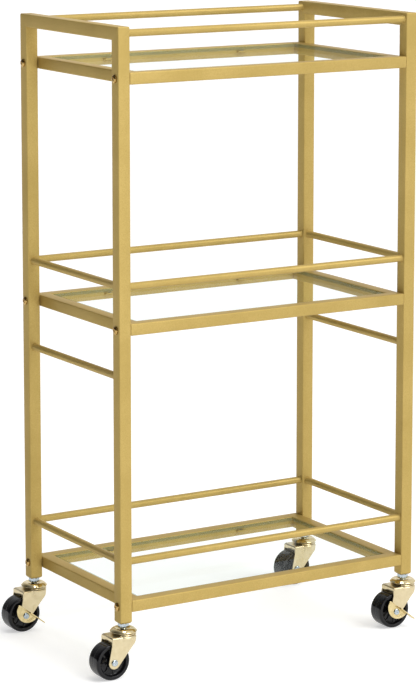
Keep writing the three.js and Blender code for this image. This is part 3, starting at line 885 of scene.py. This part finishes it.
def threaded_rod_tree():
    """A rod whose surface follows a screw thread: each point moves in or out by its turn and height."""
    tree, given = new_tree("threaded_rod", {
        "Radius": 3.0 * MM, "Length": 20.0 * MM, "Pitch": 1.0 * MM, "Depth": 0.35 * MM,
        "Rings": 96, "Sides": 20,
    })
    bar = add(tree, "GeometryNodeMeshCylinder", {
        "Vertices": given["Sides"], "Side Segments": given["Rings"], "Fill Segments": 1,
        "Radius": given["Radius"], "Depth": given["Length"],
    }, fill_type="NGON")
    at = add(tree, "ShaderNodeSeparateXYZ", {0: add(tree, "GeometryNodeInputPosition").outputs[0]})
    turn = add(tree, "ShaderNodeMath", {0: at.outputs["Y"], 1: at.outputs["X"]}, operation="ARCTAN2")
    share = add(tree, "ShaderNodeMath", {0: turn.outputs[0], 1: 2 * math.pi}, operation="DIVIDE")
    climb = add(tree, "ShaderNodeMath", {0: at.outputs["Z"], 1: given["Pitch"]}, operation="DIVIDE")
    phase = add(tree, "ShaderNodeMath", {0: climb.outputs[0], 1: share.outputs[0]}, operation="SUBTRACT")
    groove = add(tree, "ShaderNodeMath", {0: phase.outputs[0], 1: 0.5}, operation="PINGPONG")
    sink = add(tree, "ShaderNodeMath", {0: groove.outputs[0], 1: -2.0}, operation="MULTIPLY")
    depth = add(tree, "ShaderNodeMath", {0: sink.outputs[0], 1: given["Depth"]}, operation="MULTIPLY")
    outwards = add(tree, "ShaderNodeCombineXYZ", {"X": at.outputs["X"], "Y": at.outputs["Y"]})
    unit = add(tree, "ShaderNodeVectorMath", {0: outwards.outputs[0]}, operation="NORMALIZE")
    shift = add(tree, "ShaderNodeVectorMath", {
        0: unit.outputs[0], "Scale": depth.outputs[0],
    }, operation="SCALE")
    cut = add(tree, "GeometryNodeSetPosition", {"Geometry": bar.outputs["Mesh"], "Offset": shift.outputs[0]})
    return end_tree(tree, cut.outputs[0], given["Finish"])


def pan_screw_tree(thread):
    """Pan-head machine screws on the mesh's points: domed head, cross recess, threaded shank. Each is
    turned at random, as they come to rest when driven."""
    tree, given = new_tree("pan_head_screws", {
        "Head Radius": SCREW_HEAD * MM, "Head Height": SCREW_HEAD_HEIGHT * MM, "Recess Width": 1.5 * MM,
        "Recess Span": 6.4 * MM, "Recess Depth": 1.7 * MM, "Shank Radius": SCREW_SHANK * MM,
        "Shank Length": SCREW_LENGTH * MM, "Seed": 7,
    })
    blank = add(tree, "GeometryNodeMeshCylinder", {
        "Vertices": 40, "Side Segments": 3, "Fill Segments": 8,
        "Radius": given["Head Radius"], "Depth": given["Head Height"],
    }, fill_type="TRIANGLE_FAN")
    position = add(tree, "GeometryNodeInputPosition").outputs[0]
    at = add(tree, "ShaderNodeSeparateXYZ", {0: position})
    flat = add(tree, "ShaderNodeCombineXYZ", {"X": at.outputs["X"], "Y": at.outputs["Y"]})
    radius = add(tree, "ShaderNodeVectorMath", {0: flat.outputs[0]}, operation="LENGTH")
    share = add(tree, "ShaderNodeMath", {
        0: radius.outputs["Value"], 1: given["Head Radius"],
    }, operation="DIVIDE")
    steep = add(tree, "ShaderNodeMath", {0: share.outputs[0], 1: 3.2}, operation="POWER")
    above = add(tree, "ShaderNodeMath", {0: at.outputs["Z"], 1: 0.0}, operation="GREATER_THAN")
    fall = add(tree, "ShaderNodeMath", {0: steep.outputs[0], 1: above.outputs[0]}, operation="MULTIPLY")
    height = add(tree, "ShaderNodeMath", {0: given["Head Height"], 1: -0.5}, operation="MULTIPLY")
    drop = add(tree, "ShaderNodeMath", {0: fall.outputs[0], 1: height.outputs[0]}, operation="MULTIPLY")
    lower = add(tree, "ShaderNodeCombineXYZ", {"Z": drop.outputs[0]})
    domed = add(tree, "GeometryNodeSetPosition", {
        "Geometry": blank.outputs["Mesh"], "Offset": lower.outputs[0],
    })
    lift = add(tree, "ShaderNodeMath", {0: given["Head Height"], 1: 0.5}, operation="MULTIPLY")
    slot_one = add(tree, "ShaderNodeCombineXYZ", {
        "X": given["Recess Span"], "Y": given["Recess Width"], "Z": given["Recess Depth"],
    })
    slot_two = add(tree, "ShaderNodeCombineXYZ", {
        "X": given["Recess Width"], "Y": given["Recess Span"], "Z": given["Recess Depth"],
    })
    up = add(tree, "ShaderNodeCombineXYZ", {"Z": lift.outputs[0]})
    cutters = []
    for size in (slot_one, slot_two):
        block = add(tree, "GeometryNodeMeshCube", {"Size": size.outputs[0]})
        raised = add(tree, "GeometryNodeTransform", {
            "Geometry": block.outputs["Mesh"], "Translation": up.outputs[0],
        })
        cutters.append(raised.outputs[0])
    head = domed.outputs[0]
    for cutter in cutters:
        cut = add(tree, "GeometryNodeMeshBoolean", {"Mesh 1": head, "Mesh 2": cutter}, operation="DIFFERENCE")
        head = cut.outputs["Mesh"]
    seated = add(tree, "GeometryNodeTransform", {"Geometry": head, "Translation": up.outputs[0]})
    half_shank = add(tree, "ShaderNodeMath", {0: given["Shank Length"], 1: -0.5}, operation="MULTIPLY")
    down = add(tree, "ShaderNodeCombineXYZ", {"Z": half_shank.outputs[0]})
    shank = add(tree, "GeometryNodeGroup", {}, node_tree=thread)
    tree.links.new(given["Shank Radius"], shank.inputs["Radius"])
    tree.links.new(given["Shank Length"], shank.inputs["Length"])
    sunk = add(tree, "GeometryNodeTransform", {"Geometry": shank.outputs[0], "Translation": down.outputs[0]})
    screw = add(tree, "GeometryNodeJoinGeometry", {"Geometry": [seated.outputs[0], sunk.outputs[0]]})
    aim = add(tree, "GeometryNodeInputNamedAttribute", {"Name": "aim"}, data_type="FLOAT_VECTOR")
    facing = add(tree, "FunctionNodeAlignRotationToVector", {"Vector": aim.outputs[0]}, axis="Z")
    chance = add(tree, "FunctionNodeRandomValue", {
        2: 0.0, 3: math.pi / 2, "Seed": given["Seed"],
    }, data_type="FLOAT")
    spin = add(tree, "ShaderNodeCombineXYZ", {"Z": chance.outputs[1]})
    turn = add(tree, "FunctionNodeEulerToRotation", {0: spin.outputs[0]})
    driven = add(tree, "FunctionNodeRotateRotation", {
        "Rotation": facing.outputs[0], "Rotate By": turn.outputs[0],
    }, rotation_space="LOCAL")
    placed = add(tree, "GeometryNodeInstanceOnPoints", {
        "Points": given["Geometry"], "Instance": screw.outputs[0], "Rotation": driven.outputs[0],
    })
    return end_tree(tree, placed.outputs[0], given["Finish"])


def bumper_tree():
    """A soft round bumper on each of the mesh's points, slightly barrelled by the glass's weight."""
    tree, given = new_tree("glass_bumpers", {
        "Radius": BUMPER_RADIUS * MM, "Height": BUMPER_HEIGHT * MM, "Bulge": 0.12,
    })
    disc = add(tree, "GeometryNodeMeshCylinder", {
        "Vertices": 24, "Side Segments": 6, "Fill Segments": 2,
        "Radius": given["Radius"], "Depth": given["Height"],
    })
    at = add(tree, "ShaderNodeSeparateXYZ", {0: add(tree, "GeometryNodeInputPosition").outputs[0]})
    level = add(tree, "ShaderNodeMath", {0: at.outputs["Z"], 1: given["Height"]}, operation="DIVIDE")
    square = add(tree, "ShaderNodeMath", {0: level.outputs[0], 1: level.outputs[0]}, operation="MULTIPLY")
    bulge = add(tree, "ShaderNodeMath", {0: square.outputs[0], 1: -4.0, 2: 0.0}, operation="MULTIPLY_ADD")
    swell = add(tree, "ShaderNodeMath", {0: bulge.outputs[0], 1: given["Bulge"]}, operation="MULTIPLY")
    flat = add(tree, "ShaderNodeCombineXYZ", {"X": at.outputs["X"], "Y": at.outputs["Y"]})
    shift = add(tree, "ShaderNodeVectorMath", {
        0: flat.outputs[0], "Scale": swell.outputs[0],
    }, operation="SCALE")
    soft = add(tree, "GeometryNodeSetPosition", {
        "Geometry": disc.outputs["Mesh"], "Offset": shift.outputs[0],
    })
    placed = add(tree, "GeometryNodeInstanceOnPoints", {
        "Points": given["Geometry"], "Instance": soft.outputs[0],
    })
    return end_tree(tree, placed.outputs[0], given["Finish"])


def ball_race_tree():
    """A ring of bearing balls about each of the mesh's points."""
    tree, given = new_tree("ball_race", {"Race Radius": 12.7 * MM, "Ball Radius": 1.9 * MM, "Balls": 18})
    ring = add(tree, "GeometryNodeMeshCircle", {"Vertices": given["Balls"], "Radius": given["Race Radius"]})
    ball = add(tree, "GeometryNodeMeshUVSphere", {
        "Segments": 16, "Rings": 10, "Radius": given["Ball Radius"],
    })
    row = add(tree, "GeometryNodeInstanceOnPoints", {
        "Points": ring.outputs[0], "Instance": ball.outputs["Mesh"],
    })
    placed = add(tree, "GeometryNodeInstanceOnPoints", {
        "Points": given["Geometry"], "Instance": row.outputs[0],
    })
    return end_tree(tree, placed.outputs[0], given["Finish"])


def wheel_rib_tree():
    """Curved stiffening ribs on both faces of a wheel, from its hub out to its rim."""
    tree, given = new_tree("wheel_ribs", {
        "Ribs": 8, "Hub Radius": 7.2 * MM, "Rim Radius": 19.2 * MM, "Sweep": 4.5 * MM, "Rib Width": 1.3 * MM,
        "Rib Height": 3.0 * MM, "Face": 7.6 * MM,
    })
    middle = add(tree, "ShaderNodeMath", {0: given["Hub Radius"], 1: given["Rim Radius"]}, operation="ADD")
    half = add(tree, "ShaderNodeMath", {0: middle.outputs[0], 1: 0.5}, operation="MULTIPLY")
    start = add(tree, "ShaderNodeCombineXYZ", {"X": given["Hub Radius"]})
    bend = add(tree, "ShaderNodeCombineXYZ", {"X": half.outputs[0], "Y": given["Sweep"]})
    stop = add(tree, "ShaderNodeCombineXYZ", {"X": given["Rim Radius"]})
    line = add(tree, "GeometryNodeCurveQuadraticBezier", {
        "Resolution": 12, "Start": start.outputs[0], "Middle": bend.outputs[0], "End": stop.outputs[0],
    })
    bar = add(tree, "GeometryNodeCurvePrimitiveQuadrilateral", {
        "Width": given["Rib Height"], "Height": given["Rib Width"],
    })
    rounded = add(tree, "GeometryNodeFilletCurve", {"Curve": bar.outputs[0], "Radius": 0.4 * MM})
    rib = add(tree, "GeometryNodeCurveToMesh", {
        "Curve": line.outputs[0], "Profile Curve": rounded.outputs[0], "Fill Caps": True,
    })
    ring = add(tree, "GeometryNodeMeshCircle", {"Vertices": given["Ribs"], "Radius": 1 * MM})
    number = add(tree, "GeometryNodeInputIndex").outputs[0]
    share = add(tree, "ShaderNodeMath", {0: number, 1: given["Ribs"]}, operation="DIVIDE")
    angle = add(tree, "ShaderNodeMath", {0: share.outputs[0], 1: 2 * math.pi}, operation="MULTIPLY")
    spin = add(tree, "ShaderNodeCombineXYZ", {"Z": angle.outputs[0]})
    centred = add(tree, "GeometryNodeSetPosition", {"Geometry": ring.outputs[0], "Position": (0.0, 0.0, 0.0)})
    star = add(tree, "GeometryNodeInstanceOnPoints", {
        "Points": centred.outputs[0], "Instance": rib.outputs[0], "Rotation": spin.outputs[0],
    })
    faces = []
    for sign in (-1.0, 1.0):
        out = add(tree, "ShaderNodeMath", {0: given["Face"], 1: sign}, operation="MULTIPLY")
        lift = add(tree, "ShaderNodeCombineXYZ", {"Z": out.outputs[0]})
        side = add(tree, "GeometryNodeTransform", {
            "Geometry": star.outputs[0], "Translation": lift.outputs[0],
        })
        faces.append(side.outputs[0])
    both = add(tree, "GeometryNodeJoinGeometry", {"Geometry": faces})
    upright = add(tree, "GeometryNodeTransform", {
        "Geometry": both.outputs[0], "Rotation": (math.pi / 2, 0.0, 0.0),
    })
    placed = add(tree, "GeometryNodeInstanceOnPoints", {
        "Points": given["Geometry"], "Instance": upright.outputs[0],
    })
    return end_tree(tree, placed.outputs[0], given["Finish"])


def repeated(name, tree, places, finish, body, nodes=(), aims=None, sizes=None, crease=38):
    """Runs a tree on points given in millimetres and keeps the result as a plain piece."""
    mesh = bpy.data.meshes.new(name)
    mesh.from_pydata([(x * MM, y * MM, z * MM) for x, y, z in places], [], [])
    if aims:
        attribute = mesh.attributes.new("aim", "FLOAT_VECTOR", "POINT")
        for entry, aim in zip(attribute.data, aims):
            entry.vector = aim
    thing = bpy.data.objects.new(name, mesh)
    bpy.context.scene.collection.objects.link(thing)
    maker = thing.modifiers.new(tree.name, "NODES")
    maker.node_group = tree
    values = {"Finish": finish, **(sizes or {})}
    for item in tree.interface.items_tree:
        if item.in_out == "INPUT" and item.name in values:
            maker[item.identifier] = values[item.name]
    baked(thing)
    shade(thing.data, crease)
    return settle(thing, body, nodes)


# ---- The cart ----


def build_side_frames():
    for side in SIDES:
        nodes = (f"post_front_{side}", f"post_back_{side}", f"top_rail_{side}")
        piece(f"side_frame_{side}", side_frame(side), [GOLD], "frame", nodes)


def build_rods():
    for end in ENDS:
        for level in LEVELS:
            name = f"guard_{level}_{end}"
            piece(f"{name}_rod", rod(name, "x"), [GOLD], "frame", (name,))
    for side in SIDES:
        for use in ("guard_middle", "guard_bottom", "handle"):
            name = f"{use}_{side}"
            piece(f"{name}_rod", rod(name, "y"), [GOLD], "frame", (name,))


def build_shelves():
    bumper_places, tab_inset = [], TAB_REACH * 0.55
    for level in LEVELS:
        name = f"shelf_frame_{level}"
        piece(f"{name}_tubes", shelf_frame(level), [GOLD], "frame", (name,))
        name = f"glass_{level}"
        piece(f"{name}_sheet", glass_sheet(level), [GLASS, GLASS_EDGE], "frame", (name,), 20)
        low, high = span(f"shelf_frame_{level}")
        glass_low = span(f"glass_{level}")[0]
        for sign in (-1, 1):
            wall = (low.y + high.y) / 2 + sign * ((high.y - low.y) / 2 - RAIL_WIDTH)
            for place in TAB_PLACES:
                x, y = (low.x + high.x) / 2 + place, wall - sign * tab_inset
                bumper_places.append((x, y, glass_low.z - BUMPER_HEIGHT / 2))
    repeated("glass_bumpers", bumper_tree(), bumper_places, BUMPER_SILICONE, "frame")


def build_screws(thread):
    places, aims, nodes = [], [], []
    for level in LEVELS:
        for end in ENDS:
            for side in SIDES:
                node = f"screw_{level}_{end}_{side}"
                post_low, post_high = span(f"post_{end}_{side}")
                low, high = span(node)
                face = post_low.x if side == "left" else post_high.x
                places.append((face, (low.y + high.y) / 2, (low.z + high.z) / 2))
                aims.append((-1.0, 0.0, 0.0) if side == "left" else (1.0, 0.0, 0.0))
                nodes.append(node)
    screws = pan_screw_tree(thread)
    repeated("shelf_screws", screws, places, SCREW_BRASS, "frame", nodes, aims)


def build_casters(thread):
    race, ribs = ball_race_tree(), wheel_rib_tree()
    grid = fork_surface()
    for end in ENDS:
        for side in SIDES:
            place = f"{end}_{side}"
            low, high = span(f"swivel_head_{place}")
            x, y = (low.x + high.x) / 2, (low.y + high.y) / 2
            axle_x = x + TRAIL
            swivel, roll, brake = f"swivel_{place}", f"wheel_{place}", f"brake_{place}"
            pin = moved(stem(), x, y, 0)
            piece(f"stem_{place}", pin, [ZINC], "frame", (f"caster_stem_{place}",), 30)
            cut = repeated(f"stem_thread_{place}", thread, [(x, y, 0)], ZINC, "frame", sizes=STEM_THREAD)
            cut.data.transform(Matrix.Translation((x * MM, y * MM, THREAD_MIDDLE * MM)))
            cap = moved(swivel_head(), x, y, 0)
            nodes = (f"swivel_head_{place}",)
            piece(f"swivel_cap_{place}", cap, [CAP_BRASS], "frame", nodes, 50)
            repeated(f"race_balls_{place}", race, [(x, y, RACE_HEIGHT)], BALL_STEEL, swivel, crease=180)
            build_fork(f"caster_fork_{place}", grid, x, y, swivel, f"fork_{place}")
            lever_space = LEVER_SHEET + FIT if place in BRAKED else 0.0
            centre = (axle_x, y, AXLE_HEIGHT)
            pin = moved(axle(-(FORK_HALF + FIT + lever_space), FORK_HALF + FIT), *centre)
            piece(f"axle_pin_{place}", pin, [ZINC], swivel, (f"axle_{place}",), 50)
            tread = moved(wheel(), *centre)
            nodes = (f"wheel_{place}",)
            piece(f"caster_wheel_{place}", tread, [WHEEL_BLACK], roll, nodes, 40)
            repeated(f"wheel_ribs_{place}", ribs, [centre], WHEEL_BLACK, roll)
            if place in BRAKED:
                lever = moved(brake_lever(), *centre)
                nodes = (f"brake_lever_{place}",)
                piece(f"brake_pedal_{place}", lever, [LEVER_BRASS], brake, nodes, 35)


def build_fork(name, grid, x, y, body, node):
    """The pressing from its outer surface: given its sheet's thickness, then its edges eased."""
    columns = len(grid[0])
    shape = Shape()
    points = [p for row in grid for p in row]
    faces = []
    for r in range(len(grid) - 1):
        for c in range(columns - 1):
            a = r * columns + c
            faces.append([a, a + 1, a + columns + 1, a + columns])
    shape.add(points, faces)
    mesh = to_mesh(name, shape, [FORK_BRASS])
    thing = bpy.data.objects.new(name, mesh)
    bpy.context.scene.collection.objects.link(thing)
    wall = thing.modifiers.new("sheet", "SOLIDIFY")
    wall.thickness = FORK_SHEET * MM
    wall.offset = -1.0 if top_faces_up(mesh) else 1.0
    ease = thing.modifiers.new("edge", "BEVEL")
    ease.width = 0.35 * MM
    ease.segments = 2
    ease.limit_method = "ANGLE"
    ease.angle_limit = math.radians(50)
    baked(thing)
    tail = bpy.data.meshes.new("tail")
    flange = fork_tail()
    tail.from_pydata([(a * MM, b * MM, c * MM) for a, b, c in flange.points], [], flange.faces)
    clean(tail)
    join_mesh(thing.data, tail)
    thing.data.transform(Matrix.Translation((x * MM, y * MM, 0)))
    clean(thing.data, 1e-7)
    shade(thing.data, 45)
    return settle(thing, body, (node,))


def top_faces_up(mesh):
    """True if the crown's faces, which are the highest, point up."""
    top = max(mesh.polygons, key=lambda face: face.center.z)
    return top.normal.z > 0


def join_mesh(mesh, other):
    work = bmesh.new()
    work.from_mesh(mesh)
    work.from_mesh(other)
    work.to_mesh(mesh)
    work.free()
    bpy.data.meshes.remove(other)


# ---- Stage, light and camera ----


def build_stage():
    """A pale floor under the cart, far wider than the view."""
    mesh = bpy.data.meshes.new("floor")
    corners = [(x * FLOOR_REACH, y * FLOOR_REACH, 0) for x, y in ((-1, -1), (1, -1), (1, 1), (-1, 1))]
    mesh.from_pydata(corners, [], [(0, 1, 2, 3)])
    mesh.materials.append(matt_floor_paper())
    floor = bpy.data.objects.new("floor", mesh)
    bpy.context.scene.collection.objects.link(floor)


def build_light():
    """A room that is pale toward +X and dark toward -X, with a black flag at the front left, a broad
    soft key from the front right, and two soft boxes for gloss."""
    world = bpy.data.worlds.new("pale_room")
    world.use_nodes = True
    bpy.context.scene.world = world
    tree = world.node_tree
    tree.nodes.clear()
    way = add(tree, "ShaderNodeTexCoord").outputs["Generated"]
    axes = add(tree, "ShaderNodeSeparateXYZ", {0: way})
    shade_by = add(tree, "ShaderNodeMapRange", {
        "Value": axes.outputs["X"], "From Min": -0.6, "From Max": 0.25,
    })
    tone = add(tree, "ShaderNodeValToRGB", {"Fac": shade_by.outputs["Result"]})
    tone.color_ramp.elements[0].color = (0.03, 0.03, 0.03, 1)
    tone.color_ramp.elements[1].color = (0.95, 0.95, 0.96, 1)
    toward = add(tree, "ShaderNodeVectorMath", {0: way, 1: DARK_FLAG}, operation="DOT_PRODUCT")
    flag = add(tree, "ShaderNodeMapRange", {
        "Value": toward.outputs["Value"], "From Min": 0.86, "From Max": 0.94, "To Min": 1.0, "To Max": 0.12,
    })
    glow = add(tree, "ShaderNodeBackground", {
        "Color": tone.outputs["Color"], "Strength": flag.outputs["Result"],
    })
    add(tree, "ShaderNodeOutputWorld", {"Surface": glow.outputs["Background"]})

    key = bpy.data.lights.new("key", "SUN")
    key.energy = 1.2
    key.angle = math.radians(35)
    lamp = bpy.data.objects.new("key", key)
    lamp.rotation_mode = "QUATERNION"
    lamp.rotation_quaternion = Vector(KEY_WAY).to_track_quat("Z", "Y")
    bpy.context.scene.collection.objects.link(lamp)

    boxes = (
        ("front_box", (-0.3, -2.4, 0.7), (0.0, 0.0, 0.45), 1.6, 12.0),
        ("top_box", (-0.22, -0.5, 2.0), (0.0, 0.0, 0.4), 0.5, 8.0),
    )
    for name, spot, target, size, power in boxes:
        data = bpy.data.lights.new(name, "AREA")
        data.shape = "SQUARE"
        data.size = size
        data.energy = power
        lamp = bpy.data.objects.new(name, data)
        lamp.location = spot
        lamp.rotation_mode = "QUATERNION"
        lamp.rotation_quaternion = (Vector(spot) - Vector(target)).to_track_quat("Z", "Y")
        bpy.context.scene.collection.objects.link(lamp)


def build_camera():
    """A long lens from the front left, a little above, looking slightly down."""
    data = bpy.data.cameras.new("camera")
    data.sensor_width = CAMERA_SENSOR
    data.lens = CAMERA_LENS
    data.shift_y = CAMERA_SHIFT
    data.clip_start, data.clip_end = 0.05, 900.0
    camera = bpy.data.objects.new("camera", data)
    camera.location = [v * MM for v in CAMERA_PLACE]
    camera.rotation_mode = "QUATERNION"
    ahead = Vector((
        math.sin(CAMERA_YAW) * math.cos(CAMERA_PITCH),
        math.cos(CAMERA_YAW) * math.cos(CAMERA_PITCH),
        -math.sin(CAMERA_PITCH),
    ))
    camera.rotation_quaternion = ahead.to_track_quat("-Z", "Y")
    bpy.context.scene.collection.objects.link(camera)
    bpy.context.scene.camera = camera


THREAD = threaded_rod_tree()
build_side_frames()
build_rods()
build_shelves()
build_screws(THREAD)
build_casters(THREAD)
build_stage()
build_light()
build_camera()
bpy.context.scene.view_settings.view_transform = "Standard"
